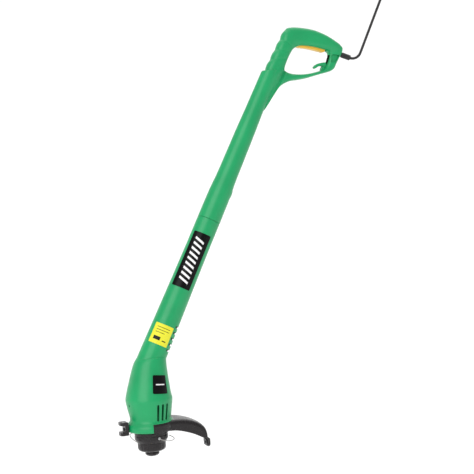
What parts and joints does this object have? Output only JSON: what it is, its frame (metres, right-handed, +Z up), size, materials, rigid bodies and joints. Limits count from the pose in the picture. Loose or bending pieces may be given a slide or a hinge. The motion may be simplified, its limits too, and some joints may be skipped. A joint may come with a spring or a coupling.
{
  "type": "string trimmer",
  "caption": "Corded electric string trimmer with a grip loop, trigger, jointed tube, motor pod, line guard and a bump-fed spool head.",
  "frame": {"origin": "middle of the hand's place on the top bar of the grip loop, on the symmetry plane", "axes": "+Z up along the spool axis, +X to the rear where the handle is, +Y to the far side; Y = 0 is the split plane of the shells"},
  "size_m": [0.8095, 0.1046, 1.1872],
  "materials": {
    "green_plastic": "satin moulded nylon blend",
    "black_plastic": "satin moulded",
    "black_rubber": "matt",
    "yellow_plastic": "satin moulded",
    "label_dark": "printed film, no lettering",
    "label_yellow": "printed film, no lettering",
    "nylon_line": "drawn monofilament",
    "steel": "zinc plated",
    "dark_steel": "laminated or blackened",
    "brass": "turned",
    "copper": "turned bars",
    "cream_plastic": "natural moulded"
  },
  "bodies": {
    "frame": {"tube_label": "label_dark", "noise_label": "label_yellow", "joint_sleeve": "black_plastic", "joint_screw": "steel", "handle_shell_near": "green_plastic", "handle_shell_far": "green_plastic", "handle_screw_1": "steel", "handle_screw_2": "steel", "handle_screw_3": "steel", "handle_screw_4": "steel", "trigger_pin": "steel", "switch_body": "black_plastic", "trigger_spring": "steel", "cord_hook": "green_plastic", "strain_relief": "black_rubber", "cord_clamp": "black_plastic", "clamp_screw_1": "steel", "clamp_screw_2": "steel", "power_cord": "black_rubber", "plug_body": "black_rubber", "plug_pin_a": "brass", "plug_pin_b": "brass", "motor_shell_near": "green_plastic", "motor_shell_far": "green_plastic", "motor_screw_1": "steel", "motor_screw_2": "steel", "motor_screw_3": "steel", "motor_screw_4": "steel", "badge": "label_dark", "guard": "black_plastic", "guard_screw_1": "dark_steel", "guard_screw_2": "dark_steel", "line_cutter": "steel", "cutter_screw": "dark_steel", "front_bracket": "black_plastic", "bracket_screw": "dark_steel", "bearing_bridge": "cream_plastic", "lower_bearing": "steel", "upper_bearing": "steel", "stator": "dark_steel", "brush_holder_a": "brass", "brush_holder_b": "brass", "wiring": "black_rubber"},
    "trigger": {"trigger": "yellow_plastic"},
    "plunger": {"switch_plunger": "cream_plastic"},
    "rotor": {"motor_shaft": "steel", "armature_core": "dark_steel", "commutator": "copper", "cooling_fan": "cream_plastic", "spool_housing": "black_plastic", "spool_cap": "black_plastic", "line_eyelet_a": "steel", "line_eyelet_b": "steel", "cutting_line_a": "nylon_line", "cutting_line_b": "nylon_line", "feed_spring": "steel"},
    "bump_slider": {"spring_seat": "steel"},
    "reel": {"reel": "cream_plastic", "wound_line": "nylon_line", "bump_knob": "black_plastic"}
  },
  "joints": [
    {"name": "trigger_pull", "type": "hinge", "parent": "frame", "child": "trigger", "pos_m": [-0.041, 0, -0.006], "axis": [0, -1, 0], "range_deg": [0, 5.5], "stiffness_Nm_per_rad": 0.8, "springref_deg": -17.19},
    {"name": "plunger_slide", "type": "slide", "parent": "frame", "child": "plunger", "axis": [0, 0, 1], "range_m": [0, 0.0033], "deforming": ["trigger_spring"]},
    {"name": "head_spin", "type": "hinge", "parent": "frame", "child": "rotor", "pos_m": [-0.46, 0, -0.82], "axis": [0, 0, 1], "continuous": true},
    {"name": "bump_travel", "type": "slide", "parent": "rotor", "child": "bump_slider", "axis": [0, 0, 1], "range_m": [0, 0.005], "stiffness_N_per_m": 700, "springref_m": -0.006, "deforming": ["feed_spring"]},
    {"name": "reel_index", "type": "hinge", "parent": "bump_slider", "child": "reel", "pos_m": [-0.46, 0, -0.89], "axis": [0, 0, 1], "continuous": true}
  ],
  "couplings": [
    {"joint": "plunger_slide", "follows": "trigger_pull", "m_per_rad": 0.033}
  ]
}
